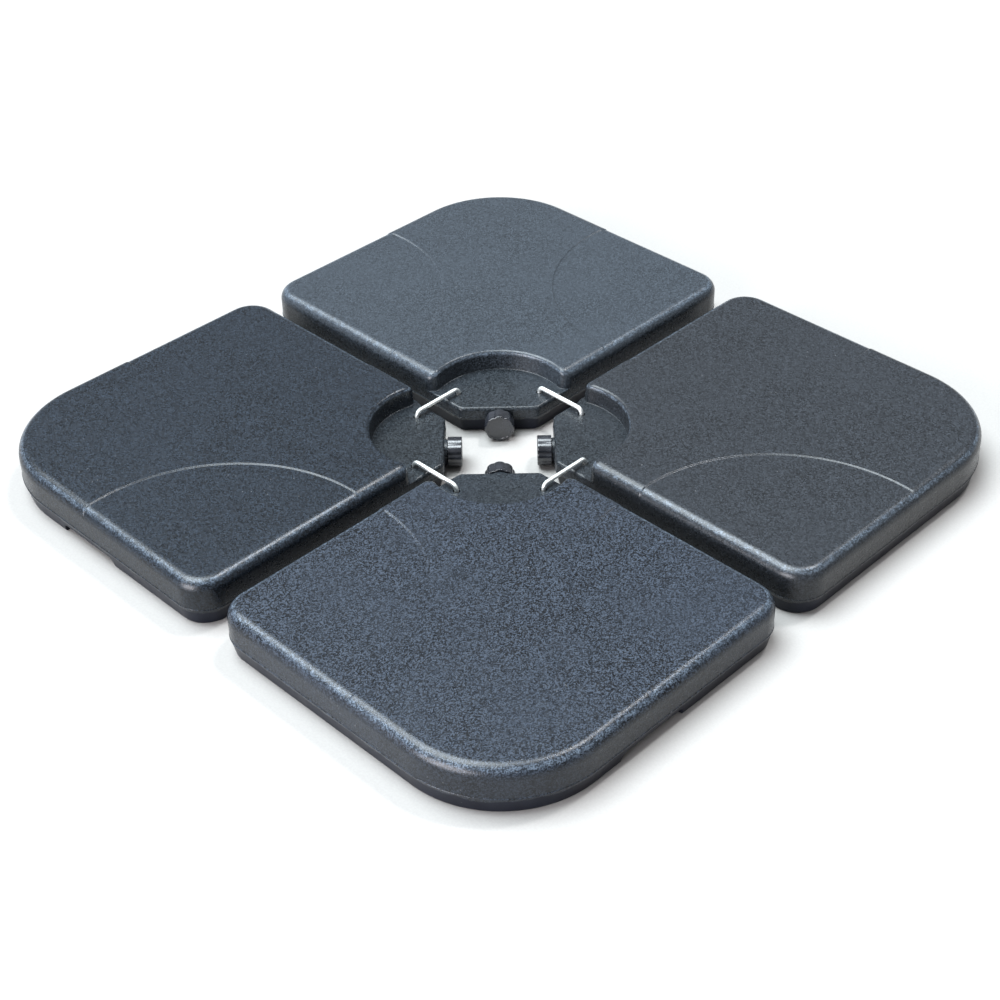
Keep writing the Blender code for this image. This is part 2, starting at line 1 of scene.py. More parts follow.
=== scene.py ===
"""Looks of the parasol base: grained tanks, glossy caps, gaskets, wire clips, sand, floor, lights and camera.

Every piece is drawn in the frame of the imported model, in metres. A tank is drawn once in the +X +Y quadrant
and turned by quarter turns. Outlines are lists of 2-D points that run anticlockwise.
"""

import json
import math
from collections import namedtuple

import bmesh
import bpy
from mathutils import Matrix, Vector
from mathutils.geometry import delaunay_2d_cdt


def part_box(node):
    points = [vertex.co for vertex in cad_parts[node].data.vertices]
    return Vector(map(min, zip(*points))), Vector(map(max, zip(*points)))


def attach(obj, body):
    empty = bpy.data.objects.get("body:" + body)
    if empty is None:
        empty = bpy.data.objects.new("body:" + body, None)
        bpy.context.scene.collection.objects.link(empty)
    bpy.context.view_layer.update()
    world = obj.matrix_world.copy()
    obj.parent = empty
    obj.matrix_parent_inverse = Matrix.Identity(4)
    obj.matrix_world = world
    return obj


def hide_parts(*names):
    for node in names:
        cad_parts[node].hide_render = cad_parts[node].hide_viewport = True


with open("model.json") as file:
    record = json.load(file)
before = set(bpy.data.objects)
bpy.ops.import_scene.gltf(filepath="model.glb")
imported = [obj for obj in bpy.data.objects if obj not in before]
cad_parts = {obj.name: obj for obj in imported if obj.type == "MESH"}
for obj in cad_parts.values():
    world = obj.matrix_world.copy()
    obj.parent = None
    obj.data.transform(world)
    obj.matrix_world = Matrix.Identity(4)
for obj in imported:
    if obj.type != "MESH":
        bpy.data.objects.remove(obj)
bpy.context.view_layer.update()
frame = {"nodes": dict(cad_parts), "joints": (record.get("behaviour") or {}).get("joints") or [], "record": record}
TANK_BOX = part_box("tank_right")
CAP_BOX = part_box("cap_right")
CLIP_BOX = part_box("clip_front_right")
JOINTS = {joint["name"]: joint for joint in frame["joints"]}

# Read from the frame
GAP_SIDE = TANK_BOX[0].x
HALF_SIDE = TANK_BOX[1].x
TANK_HEIGHT = TANK_BOX[1].z
CAP_AXIS_HEIGHT = JOINTS["cap_right_turn"]["pos_m"][2]
HUB_FACE_DISTANCE = math.sqrt(2) * JOINTS["cap_right_turn"]["pos_m"][0]
CAP_RADIUS = (CAP_BOX[1].z - CAP_BOX[0].z) / 2
CLIP_DISTANCE = (CLIP_BOX[0].x + CLIP_BOX[1].x) / 2

# Tank plan and wall
OUTER_CORNER_RADIUS = 0.149
SIDE_CORNER_RADIUS = 0.042
HUB_CORNER_RADIUS = 0.009
TANK_WALL = 0.003
BASE_INSET = 0.0055
BASE_FILLET = 0.0025
PARTING_HEIGHT = 0.025
PARTING_RIDGE = 0.0006
PARTING_WIDTH = 0.0016
PARTING_DIP_WIDTH = 0.034
FACE_LIMIT = 2.2            # a point is on the filler face if its x + y is under this many face distances
TOP_FILLET = 0.016

# Recess at the inner corner
RECESS_RADIUS = 0.095
RECESS_CENTRE = 0.055
RECESS_DRAFT = 0.0025
RECESS_TOP_FILLET = 0.006
RECESS_FOOT_FILLET = 0.001
RECESS_CORNER_RADIUS = 0.012
RECESS_CORNER_LEAST = 0.003
FLOOR_EDGE_FILLET = 0.0045

# Lower areas of the top
LENS_DROP = 0.0013
LENS_STEP_WIDTH = 0.003
LENS_OUTER_INSET = 0.036
LENS_GAP_INSET = 0.011
LENS_SHORTFALL = 0.016
FLAT_MARGIN = 0.003         # flat strip kept beside every step and fillet, for clean shading

# Finger grip under the outer side along X
GRIP_WIDTH = 0.106
GRIP_DEPTH = 0.027
GRIP_HEIGHT = 0.0128
GRIP_CORNER_RADIUS = 0.010
GRIP_TAPER = 0.007
GRIP_ALONG = 0.255
GRIP_MOUTH_FILLET = 0.0015
GRIP_ROOF_DROP = 0.003      # how far the roof comes down towards the back
GRIP_OVERSHOOT = 0.02       # how far the grip's tools run past the wall and the ground
GRIP_PROFILE = ((0.0, 0.0), (0.35, 0.6), (0.62, 0.9), (1.0, 1.0))   # shares of the taper and of the height

# Neck, cap and thread
NECK_RADIUS = 0.017
NECK_BORE_RADIUS = 0.0125
NECK_COLLAR = 0.0030
NECK_COVER = 0.0022         # from the top of the neck up to the recess floor
NECK_RIM_FILLET = 0.0006
RIM_MIDDLE = 0.3            # share of the rim's fillet that its middle point is set in
NECK_ROOT_SINK = 0.001
MOUTH_CHAMFER = 0.0005
THREAD_DEPTH = 0.0014
THREAD_PITCH = 0.004
THREAD_FOOT_WIDTH = 0.0020
THREAD_TIP_WIDTH = 0.0008
THREAD_SINK = 0.0004
THREAD_CLEARANCE = 0.0006
THREAD_END_HEIGHT = 0.15    # share of its height that a thread keeps where it runs out
NECK_THREAD_TURNS = 1.5
CAP_THREAD_TURNS = 1.0
CAP_GAP = 0.0035
CAP_LENGTH = 0.019
CAP_END_WALL = 0.0025
CAP_SIDE_WALL = 0.0014
CAP_LOBES = 8
CAP_LOBE_RADIUS = 0.0105
CAP_EDGE_FILLET = 0.0012
CAP_RIM_WIDTH = 0.0022
CAP_DISH_DEPTH = 0.0005
CAP_DISH_PROFILE = (0.1, 0.5, 0.9, 1.0)     # shares of the dish's depth, from its rim in
GASKET_THICKNESS = 0.002
GASKET_BORE_RADIUS = 0.0115

# Wire clip
CLIP_WIRE = 0.006
CLIP_SPAN = 0.080
CLIP_STANDOFF = 0.005
CLIP_REACH = 0.024
CLIP_BEND_RADIUS = 0.008
CLIP_TIP_CHAMFER = 0.001
SOCKET_CLEARANCE = 0.0015
SOCKET_RIM = 0.0010         # rounding of the hole's edge
SEAT_GAP = 0.0003
BORE_OVERSHOOT = 0.01       # how far the tool of a bore runs past its mouth

# Sizes that follow
TANK_SIDE = HALF_SIDE - GAP_SIDE
LENS_RADIUS = TANK_SIDE / 2 - LENS_SHORTFALL
LENS_CENTRE = Vector((HALF_SIDE - LENS_OUTER_INSET, GAP_SIDE + LENS_GAP_INSET))
RECESS_FLOOR = CAP_AXIS_HEIGHT + NECK_RADIUS + NECK_COVER
CLIP_BAR_HEIGHT = RECESS_FLOOR + CLIP_STANDOFF + CLIP_WIRE / 2
CLIP_TIP_HEIGHT = RECESS_FLOOR - CLIP_REACH
SOCKET_RADIUS = CLIP_WIRE / 2 + SOCKET_CLEARANCE
NECK_ROOT_RADIUS = NECK_RADIUS - THREAD_DEPTH
CAP_BORE_RADIUS = NECK_RADIUS + THREAD_CLEARANCE
CAP_THREAD_RADIUS = NECK_ROOT_RADIUS + THREAD_CLEARANCE
CAP_NOTCH_RADIUS = CAP_BORE_RADIUS + CAP_SIDE_WALL
CAP_INNER_END = CAP_GAP + CAP_LENGTH - CAP_END_WALL
NECK_LENGTH = CAP_INNER_END - GASKET_THICKNESS - 2 * SEAT_GAP
LOBE_HALF_ANGLE = math.pi / CAP_LOBES
THREAD_START = (NECK_COLLAR + NECK_LENGTH - NECK_THREAD_TURNS * THREAD_PITCH) / 2
PARTING_PROFILE = ((PARTING_RIDGE, -PARTING_WIDTH / 2), (PARTING_RIDGE / 3, -PARTING_WIDTH / 4),
                   (0.0, -PARTING_WIDTH / 12), (0.0, PARTING_WIDTH / 12),
                   (PARTING_RIDGE / 3, PARTING_WIDTH / 4), (PARTING_RIDGE, PARTING_WIDTH / 2))

# Smoothness: segments in each round stretch
Detail = namedtuple("Detail", ("outer_corner", "side_corner", "hub_corner", "recess", "recess_corner",
                               "top_fillet", "small_fillet", "socket"))
OUTSIDE = Detail(outer_corner=40, side_corner=16, hub_corner=6, recess=44, recess_corner=12, top_fillet=12,
                 small_fillet=4, socket=32)
INSIDE = Detail(outer_corner=5, side_corner=2, hub_corner=1, recess=7, recess_corner=2, top_fillet=2,
                small_fillet=1, socket=8)
LENS_SEGMENTS = 48
LENS_STEPS = 6
ROUND_SEGMENTS = 40
LOBE_SEGMENTS = 12
WIRE_SIDES = 24
WIRE_BEND_SEGMENTS = 12

# Radii across a lens step and how far each is down it, from the outside in
LENS_PROFILE = [(LENS_RADIUS + LENS_STEP_WIDTH + FLAT_MARGIN, 0.0)]
for step in range(LENS_STEPS + 1):
    across = step / LENS_STEPS
    LENS_PROFILE.append((LENS_RADIUS + LENS_STEP_WIDTH * (1 - across), across * across * (3 - 2 * across)))
LENS_PROFILE.append((LENS_RADIUS - FLAT_MARGIN, 1.0))

QUADRANTS = ("right", "back", "left", "front")
CLIP_NODES = ("clip_front_right", "clip_right_back", "clip_back_left", "clip_left_front")

# Stage
# Each quadrant's tank colour: the same plastic made lighter or darker per tank, as painted light and shade.
PAINTED_LIGHT_TONES = {"right": (0.0180, 0.0208, 0.0248), "back": (0.0290, 0.0358, 0.0440),
         "left": (0.0112, 0.0152, 0.0210), "front": (0.0190, 0.0242, 0.0330)}
GRAIN_CONTRAST = {"right": 0.85, "back": 0.60, "left": 1.10, "front": 1.30}
GRAIN_START = 0.0055        # how far under the parting line the grain starts
GRAIN_FULL = 0.0035         # and how far under it the grain is full
# Heights, and distances from the recess centre, over which the recess floor's painted shade comes in
RECESS_SHADE_HEIGHTS = (RECESS_FLOOR + 0.010, RECESS_FLOOR + 0.001)
RECESS_SHADE_DISTANCES = (0.104, 0.092)
WEAR_AND_HIGHLIGHT_FROM = (0.0605, 0.0640)        # heights over which the band of wear and painted highlight comes in, going up
WEAR_AND_HIGHLIGHT_TO = (0.0663, 0.0654)          # heights over which it comes in, going down
TANK_SHIFT = 3.1            # how far the texture moves from one quadrant's tank to the next
CAP_SHIFT = 2.3
GASKET_SHIFT = 1.9
CLIP_SHIFT = 1.3
FLOOR_HEIGHT = -0.0005
FLOOR_HALF_SIDE = 40.0
FLOOR_SQUARES = 24
WORLD_STRENGTH = 0.35
WORLD_COLOUR = (0.93, 0.96, 1.0, 1.0)
# Distant lights: name, direction, angle across in degrees, strength, colour
LIGHTS = (("key", (-0.33, -0.13, 0.93), 46.0, 7.2, (0.86, 0.95, 1.0)),
          ("left_fill", (-0.02, -0.97, 0.24), 40.0, 5.6, (0.95, 0.94, 1.0)),
          ("back_rim", (0.03, 0.44, 0.86), 7.0, 1.7, (0.95, 0.97, 1.0)))
CAMERA_AZIMUTH = 45.38
CAMERA_ELEVATION = 36.34
CAMERA_DISTANCE = 2.5379
CAMERA_ROLL = -1.233
CAMERA_LENS = 67.06
CAMERA_SHIFT = -0.0367
CAMERA_SENSOR = 36
CAMERA_CLIP_END = 200
BODY_OF = {node: body for body, nodes in frame["record"]["behaviour"]["bodies"].items() for node in nodes}


# Outlines

def unit(degrees):
    """Unit vector at an angle from +X."""
    return Vector((math.cos(math.radians(degrees)), math.sin(math.radians(degrees))))


def arc(centre, radius, start, end, segments):
    """Points on an arc from one angle to another, both ends included."""
    return [centre + radius * unit(start + (end - start) * i / segments) for i in range(segments + 1)]


def round_corner(corner, heading, turn, radius, segments):
    """Points round a left-hand corner that is reached along a heading and left after a turn."""
    start = corner - radius * math.tan(math.radians(turn / 2)) * unit(heading)
    centre = start + radius * unit(heading + 90)
    return arc(centre, radius, heading - 90, heading - 90 + turn, segments)


def swapped(points):
    """Mirror image in the line X = Y, in reverse order so that it still runs anticlockwise."""
    return [Vector((p.y, p.x)) for p in reversed(points)]


def lens_on_gap_side(inset, radius):
    """Where a lens arc meets the gap side that runs along X."""
    line = GAP_SIDE + inset
    return Vector((LENS_CENTRE.x - math.sqrt(radius ** 2 - (line - LENS_CENTRE.y) ** 2), line))


def lens_on_outer_side(inset, radius):
    """Where a lens arc meets the outer side that runs along Y."""
    line = HALF_SIDE - inset
    return Vector((line, LENS_CENTRE.y + math.sqrt(radius ** 2 - (line - LENS_CENTRE.x) ** 2)))


def recess_corner(inset, recess_inset, radius):
    """Centre of the round corner where the recess wall meets the gap side along X."""
    line = GAP_SIDE + inset + radius
    reach = RECESS_RADIUS + recess_inset + radius
    return Vector((RECESS_CENTRE + math.sqrt(reach ** 2 - (RECESS_CENTRE - line) ** 2), line))


def outer_path(inset, recess_end, detail, lens=True):
    """Gap side, outer sides and gap side, from one end of the recess to the other.

    Each point comes with its share of a lens's drop.
    """
    low = GAP_SIDE + inset
    high = HALF_SIDE - inset
    side_corner = round_corner(Vector((high, low)), 0, 90, SIDE_CORNER_RADIUS - inset, detail.side_corner)
    outer_radius = OUTER_CORNER_RADIUS - inset
    outer_corner = round_corner(Vector((high, high)), 90, 90, outer_radius, detail.outer_corner)
    half = [(Vector((recess_end, low)), 0)]
    if lens:
        half += [(lens_on_gap_side(inset, radius), share) for radius, share in LENS_PROFILE]
    half += [(point, 1) for point in side_corner]
    if lens:
        half += [(lens_on_outer_side(inset, radius), share) for radius, share in reversed(LENS_PROFILE)]
    mirrored = [(Vector((point.y, point.x)), low_area) for point, low_area in reversed(half)]
    return half + [(point, 0) for point in outer_corner] + mirrored


def hub_path(inset, side_inset, recess_end, detail):
    """Gap side, filler face and gap side below the recess, without its two end points."""
    low = GAP_SIDE + inset
    reach = math.sqrt(2) * (HUB_FACE_DISTANCE + inset)
    radius = HUB_CORNER_RADIUS
    clear = recess_end - RECESS_CORNER_RADIUS
    start = [Vector((GAP_SIDE + side_inset, clear)), Vector((low, clear - 2 * FLOOR_EDGE_FILLET))]
    first = round_corner(Vector((low, reach - low)), 270, 45, radius, detail.hub_corner)
    second = round_corner(Vector((reach - low, low)), 315, 45, radius, detail.hub_corner)
    return start + first + second + swapped(start)


def recess_path(inset, recess_inset, corner_radius, detail):
    """Round corner, recess arc and round corner, without the two end points, with 0 to 1 into the recess.

    The arc's chords stay outside its circle, so a cavity never comes nearer the recess than its offset.
    """
    corner = recess_corner(inset, recess_inset, corner_radius)
    tangent = math.degrees(math.atan2(RECESS_CENTRE - corner.y, RECESS_CENTRE - corner.x))
    into_gap = arc(corner, corner_radius, tangent, 270, detail.recess_corner)
    away = tangent - 180
    half_step = math.radians((90 - 2 * away) / detail.recess / 2)
    radius = (RECESS_RADIUS + recess_inset) / math.cos(half_step)
    bowl = arc(Vector((RECESS_CENTRE, RECESS_CENTRE)), radius, 90 - away, away, detail.recess)
    shares = [i / detail.recess_corner for i in range(1, detail.recess_corner + 1)]
    entry = list(zip(swapped(into_gap)[1:], shares))
    middle = [(point, 1) for point in bowl[1:-1]]
    leave = list(zip(into_gap[:-1], reversed(shares)))
    return entry + middle + leave


# Mesh helpers

def add_loop(bm, points):
    """New vertices for a closed loop."""
    return [bm.verts.new(point) for point in points]


def bridge(bm, lower, upper):
    """Quads between two loops of the same length."""
    count = len(lower)
    for i in range(count):
        after = (i + 1) % count
        corners = [lower[i], lower[after], upper[after], upper[i]]
        distinct = list(dict.fromkeys(corners))
        if len(distinct) > 2:
            bm.faces.new(distinct)


def fill(bm, loop, lines=()):
    """Triangles inside a loop of vertices, with lines of vertices across it as edges."""
    verts = list(loop)
    edges = [(i, (i + 1) % len(loop)) for i in range(len(loop))]
    places = {vert: i for i, vert in enumerate(verts)}
    for line in lines:
        for vert in line:
            if vert not in places:
                places[vert] = len(verts)
                verts.append(vert)
        edges += [(places[a], places[b]) for a, b in zip(line, line[1:])]
    flat = [vert.co.to_2d() for vert in verts]
    outline = list(range(len(loop)))
    if sum(flat[i - 1].cross(flat[i]) for i in outline) < 0:
        outline.reverse()
    _, _, triangles, originals, _, _ = delaunay_2d_cdt(flat, edges, [outline], 1, 1e-9)
    for triangle in triangles:
        bm.faces.new([verts[originals[i][0]] for i in triangle])


def mesh_from(bm, name):
    """Finish a closed mesh, with its faces outward."""
    bmesh.ops.triangulate(bm, faces=bm.faces[:])
    bmesh.ops.recalc_face_normals(bm, faces=bm.faces[:])
    mesh = bpy.data.meshes.new(name)
    bm.to_mesh(mesh)
    bm.free()
    return mesh


def add_object(name, mesh, material=None):
    """Put a mesh in the scene."""
    item = bpy.data.objects.new(name, mesh)
    bpy.context.scene.collection.objects.link(item)
    if material and not mesh.materials:
        mesh.materials.append(material)
    return item


def combine(mesh, tool_mesh, operation):
    """Mesh after one exact Boolean with a tool mesh."""
    base = add_object("base", mesh)
    tool = add_object("tool", tool_mesh)
    modifier = base.modifiers.new("Boolean", "BOOLEAN")
    modifier.operation = operation
    modifier.solver = "EXACT"
    modifier.object = tool
    result = evaluated_mesh(base)
    bpy.data.objects.remove(base)
    bpy.data.objects.remove(tool)
    return result


def evaluated_mesh(item):
    """Mesh of an object after its modifiers."""
    return bpy.data.meshes.new_from_object(item.evaluated_get(bpy.context.evaluated_depsgraph_get()))


def shaded(mesh, name, smooth_angle=35):
    """Smooth shading whose normals follow the larger faces, with sharp edges kept."""
    mesh.shade_smooth()
    mesh.set_sharp_from_angle(angle=math.radians(smooth_angle))
    item = add_object(name, mesh)
    modifier = item.modifiers.new("Weighted Normal", "WEIGHTED_NORMAL")
    modifier.mode = "FACE_AREA_WITH_ANGLE"
    modifier.keep_sharp = True
    result = evaluated_mesh(item)
    result.name = name
    bpy.data.objects.remove(item)
    return result


def turned(name, profile, segments=ROUND_SEGMENTS):
    """Solid turned about Z from (radius, height) points, bottom to top."""
    bm = bmesh.new()
    loops = [add_loop(bm, circle(radius, height, segments)) for radius, height in profile]
    for lower, upper in zip(loops, loops[1:]):
        bridge(bm, lower, upper)
    fill(bm, loops[0])
    fill(bm, loops[-1])
    return mesh_from(bm, name)


def circle(radius, height, segments):
    """Points round Z at a height."""
    angles = [2 * math.pi * i / segments for i in range(segments)]
    return [(radius * math.cos(a), radius * math.sin(a), height) for a in angles]


def quarter(segments):
    """(1 - cosine, sine) pairs over a quarter turn."""
    turns = [math.pi / 2 * i / segments for i in range(segments + 1)]
    return [(1 - math.cos(turn), math.sin(turn)) for turn in turns]


def thread_ridge(name, foot, tip, start, turns):
    """Closed helical ridge from a foot radius to a tip radius, with both ends run out into the foot."""
    steps = round(turns * ROUND_SEGMENTS)
    runout = ROUND_SEGMENTS // 5
    bm = bmesh.new()
    loops = []
    for i in range(steps + 1):
        height = min(1.0, i / runout, (steps - i) / runout)
        crest = foot + (tip - foot) * (THREAD_END_HEIGHT + (1 - THREAD_END_HEIGHT) * height)
        angle = 2 * math.pi * (i + 0.5) / ROUND_SEGMENTS
        middle = start + THREAD_PITCH * i / ROUND_SEGMENTS
        section = [(foot, -THREAD_FOOT_WIDTH), (crest, -THREAD_TIP_WIDTH), (crest, THREAD_TIP_WIDTH),
                   (foot, THREAD_FOOT_WIDTH)]
        loops.append(add_loop(bm, [(r * math.cos(angle), r * math.sin(angle), middle + w / 2)
                                   for r, w in section]))
    for lower, upper in zip(loops, loops[1:]):
        bridge(bm, lower, upper)
    bm.faces.new(loops[0])
    bm.faces.new(loops[-1])
    return mesh_from(bm, name)


# Tank

def lower_rings(offset, side):
    """(side inset, filler face inset, height) from the ground to the recess floor, shrunk by an offset."""
    floor = RECESS_FLOOR - offset
    if offset:
        return [(BASE_INSET + offset, BASE_INSET + offset, offset), (offset, offset, PARTING_HEIGHT),
                (side, side, floor)]
    rings = [(BASE_INSET + BASE_FILLET + FLAT_MARGIN,) * 2 + (0.0,)]
    rings += [(BASE_INSET + BASE_FILLET * (1 - up),) * 2 + (BASE_FILLET * out,) for out, up in quarter(4)]
    for inset, height in PARTING_PROFILE:
        rings.append((inset, inset, PARTING_HEIGHT + height))
    rings += [(side, side + FLOOR_EDGE_FILLET * out, floor - FLOOR_EDGE_FILLET * (1 - up))
              for out, up in quarter(OUTSIDE.small_fillet)]
    return rings


def upper_rings(offset, side, detail):
    """Rings from the recess floor to the top, shrunk by an offset.

    Each is (side inset, recess inset, corner radius, side height, recess height, 1 where a lens drops it).
    """
    floor = RECESS_FLOOR - offset
    top = cavity_top(offset) if offset else TANK_HEIGHT
    fillet = TOP_FILLET - offset
    recess_fillet = RECESS_TOP_FILLET + offset
    foot = 0.0 if offset else RECESS_FOOT_FILLET
    rise = top - recess_fillet - floor
    lean = RECESS_DRAFT * rise / (rise + recess_fillet)
    rings = []
    if foot:
        for out, up in quarter(detail.small_fillet):
            height = floor + foot * out
            rings.append((side, offset - foot * (1 - up), RECESS_CORNER_RADIUS, height, height, 0))
    else:
        rings.append((side, offset, RECESS_CORNER_RADIUS, floor, floor, 0))
    for rolled, up in quarter(detail.top_fillet):
        corner = RECESS_CORNER_RADIUS + (RECESS_CORNER_LEAST - RECESS_CORNER_RADIUS) * rolled
        rings.append((side + fillet * rolled, offset + lean + recess_fillet * rolled, corner,
                      top - fillet * (1 - up), top - recess_fillet * (1 - up), 1))
    return rings


def cavity_top(offset):
    """Height of the cavity's plain top, under the lowest areas of the outside."""
    return TANK_HEIGHT - offset - LENS_DROP


def parting_dip(point):
    """How far the parting line drops at a point, so that it meets the middle of the filler neck."""
    off_axis = abs(point.x - point.y) / math.sqrt(2)
    on_face = point.x + point.y < FACE_LIMIT * HUB_FACE_DISTANCE
    share = max(0.0, 1 - off_axis / PARTING_DIP_WIDTH) if on_face else 0.0
    return (PARTING_HEIGHT - CAP_AXIS_HEIGHT) * share * share * (3 - 2 * share)


def moulding(name, offset, detail):
    """Closed body of the tank, shrunk by an offset: none for the outside, the wall for the cavity."""
    lens = offset == 0
    side = PARTING_RIDGE if lens else offset
    rings = upper_rings(offset, side, detail)
    end = recess_corner(side, rings[0][1], RECESS_CORNER_RADIUS).x
    shared = len(outer_path(side, end, detail, lens))
    bm = bmesh.new()
    loops = []
    for inset, hub_inset, height in lower_rings(offset, side):
        path = [point for point, _ in outer_path(inset, end, detail, lens)]
        path += hub_path(hub_inset, inset, end, detail)
        dips = lens and abs(height - PARTING_HEIGHT) < 2 * PARTING_WIDTH
        loops.append(add_loop(bm, [(p.x, p.y, height - (parting_dip(p) if dips else 0.0)) for p in path]))
    for below, above in zip(loops, loops[1:]):
        bridge(bm, below, above)
    fill(bm, loops[0])

    previous = None
    for inset, recess_inset, corner_radius, height, recess_height, drops in rings:
        end = recess_corner(inset, recess_inset, corner_radius).x
        inner = [(p.x, p.y, height + (recess_height - height) * share)
                 for p, share in recess_path(inset, recess_inset, corner_radius, detail)]
        if previous is None:
            previous = loops[-1][:shared] + add_loop(bm, inner)
            fill(bm, loops[-1][shared - 1:] + loops[-1][:1] + list(reversed(previous[shared:])))
            continue
        outer = [(p.x, p.y, height - LENS_DROP * drops * low_area * lens)
                 for p, low_area in outer_path(inset, end, detail, lens)]
        loop = add_loop(bm, outer + inner)
        bridge(bm, previous, loop)
        previous = loop
    fill(bm, previous, lens_lines(bm, previous, rings[-1][0]) if lens else ())
    return mesh_from(bm, name)


def lens_lines(bm, loop, inset):
    """Edges of both lens steps across the top, joined to the top's outline."""
    lines = []
    for radius, share in LENS_PROFILE:
        start = lens_on_gap_side(inset, radius)
        end = lens_on_outer_side(inset, radius)
        first = math.degrees(math.atan2(*(start - LENS_CENTRE).yx)) % 360
        last = math.degrees(math.atan2(*(end - LENS_CENTRE).yx))
        points = arc(LENS_CENTRE, radius, first, last, LENS_SEGMENTS)[1:-1]
        height = TANK_HEIGHT - LENS_DROP * share
        for flip in (False, True):
            ends = [nearest(loop, p.yx if flip else p) for p in (start, end)]
            between = [(p.y, p.x, height) if flip else (p.x, p.y, height) for p in points]
            lines.append([ends[0]] + add_loop(bm, between) + [ends[1]])
    return lines


def nearest(loop, point):
    """Vertex of a loop that is nearest a 2-D point."""
    return min(loop, key=lambda vert: (vert.co.to_2d() - point).length_squared)


def wall_inset(height):
    """How far the outer wall stands in at a height below the parting line."""
    share = (height - BASE_FILLET) / (PARTING_HEIGHT - PARTING_WIDTH / 2 - BASE_FILLET)
    return BASE_INSET + (PARTING_RIDGE - BASE_INSET) * min(1.0, max(0.0, share))


def grip():
    """Tool that cuts the finger grip, with a rounded mouth that follows the wall's slope."""
    stations = [(GRIP_DEPTH - GRIP_CORNER_RADIUS * out, -GRIP_CORNER_RADIUS * (1 - up))
                for out, up in quarter(8)]
    stations += [(GRIP_MOUTH_FILLET * (1 - up), GRIP_MOUTH_FILLET * out) for out, up in quarter(5)]
    stations.append((-GRIP_OVERSHOOT, GRIP_MOUTH_FILLET))
    bm = bmesh.new()
    loops = []
    for depth, growth in stations:
        half = GRIP_WIDTH / 2 + growth
        height = GRIP_HEIGHT + max(growth, -GRIP_ROOF_DROP)
        side = [(half, -GRIP_OVERSHOOT), (half, 0.0)]
        side += [(half - GRIP_TAPER * out, height * up) for out, up in quarter(10)[1:]]
        outline = side + [(-across, level) for across, level in reversed(side)]
        slope = min(1.0, max(0.0, 1 - depth / GRIP_DEPTH))
        loops.append(add_loop(bm, [(GRIP_ALONG + across, HALF_SIDE - depth - slope * wall_inset(level), level)
                                   for across, level in outline]))
    for lower, upper in zip(loops, loops[1:]):
        bridge(bm, lower, upper)
    bm.faces.new(loops[0])
    bm.faces.new(loops[-1])
    return mesh_from(bm, "grip")


def cavity_grip(offset):
    """Tool that keeps the cavity clear of the finger grip by an offset."""
    half = GRIP_WIDTH / 2 + offset
    radius = GRIP_CORNER_RADIUS + offset
    height = GRIP_HEIGHT + offset
    outer = HALF_SIDE + GRIP_OVERSHOOT
    rings = [(0.0, -GRIP_OVERSHOOT)]
    rings += [(GRIP_TAPER * in_share, height * up_share) for in_share, up_share in GRIP_PROFILE]
    bm = bmesh.new()
    loops = []
    for inset, level in rings:
        inner = HALF_SIDE - GRIP_DEPTH - offset + inset
        left = GRIP_ALONG - half + inset
        right = GRIP_ALONG + half - inset
        outline = round_corner(Vector((left, inner)), 270, 90, radius, 3)
        outline += round_corner(Vector((right, inner)), 0, 90, radius, 3)
        outline += [Vector((right, outer)), Vector((left, outer))]
        loops.append(add_loop(bm, [(p.x, p.y, level) for p in outline]))
    for lower, upper in zip(loops, loops[1:]):
        bridge(bm, lower, upper)
    fill(bm, loops[0])
    fill(bm, loops[-1])
    return mesh_from(bm, "cavity_grip")


def socket(mirrored, offset, detail):
    """Tool that cuts one clip socket, grown by an offset."""
    radius = (SOCKET_RADIUS + offset) / math.cos(math.pi / detail.socket)
    profile = [(radius, CLIP_TIP_HEIGHT - SEAT_GAP - offset)]
    if not offset:
        profile += [(radius + SOCKET_RIM * out, RECESS_FLOOR - SOCKET_RIM * (1 - up))
                    for out, up in quarter(5)]
    profile.append((profile[-1][0], TANK_HEIGHT))
    mesh = turned("socket", profile, detail.socket)
    place = Vector((CLIP_DISTANCE, CLIP_SPAN / 2))
    if mirrored:
        place = place.yx
    mesh.transform(Matrix.Translation((place.x, place.y, 0)))
    return mesh


def neck_matrix():
    """Frame of the filler neck: its origin on the filler face, its Z towards the set's middle."""
    towards = Vector((-1, -1, 0)).normalized()
    up = Vector((0, 0, 1))
    matrix = Matrix((up.cross(towards), up, towards)).transposed().to_4x4()
    corner = HUB_FACE_DISTANCE / math.sqrt(2)
    matrix.translation = Vector((corner, corner, CAP_AXIS_HEIGHT))
    return matrix


def neck():
    """Solid filler neck with its thread, rooted inside the tank's wall."""
    rim = NECK_RIM_FILLET
    middle = rim * RIM_MIDDLE
    body = turned("neck", [(NECK_RADIUS, -BASE_INSET - NECK_ROOT_SINK), (NECK_RADIUS, NECK_COLLAR - rim),
                           (NECK_RADIUS - middle, NECK_COLLAR - middle),
                           (NECK_RADIUS - rim, NECK_COLLAR),
                           (NECK_ROOT_RADIUS, NECK_COLLAR + THREAD_DEPTH / 2),
                           (NECK_ROOT_RADIUS, NECK_LENGTH - rim),
                           (NECK_ROOT_RADIUS - middle, NECK_LENGTH - middle),
                           (NECK_ROOT_RADIUS - rim, NECK_LENGTH)])
    ridge = thread_ridge("neck_thread", NECK_ROOT_RADIUS - THREAD_SINK, NECK_RADIUS, THREAD_START,
                         NECK_THREAD_TURNS)
    return combine(body, ridge, "UNION")


def cavity(offset):
    """Inside of the tank at an offset from its outside."""
    mesh = combine(moulding("cavity", offset, INSIDE), cavity_grip(offset), "DIFFERENCE")
    for mirrored in (False, True):
        mesh = combine(mesh, socket(mirrored, offset, INSIDE), "DIFFERENCE")
    return mesh


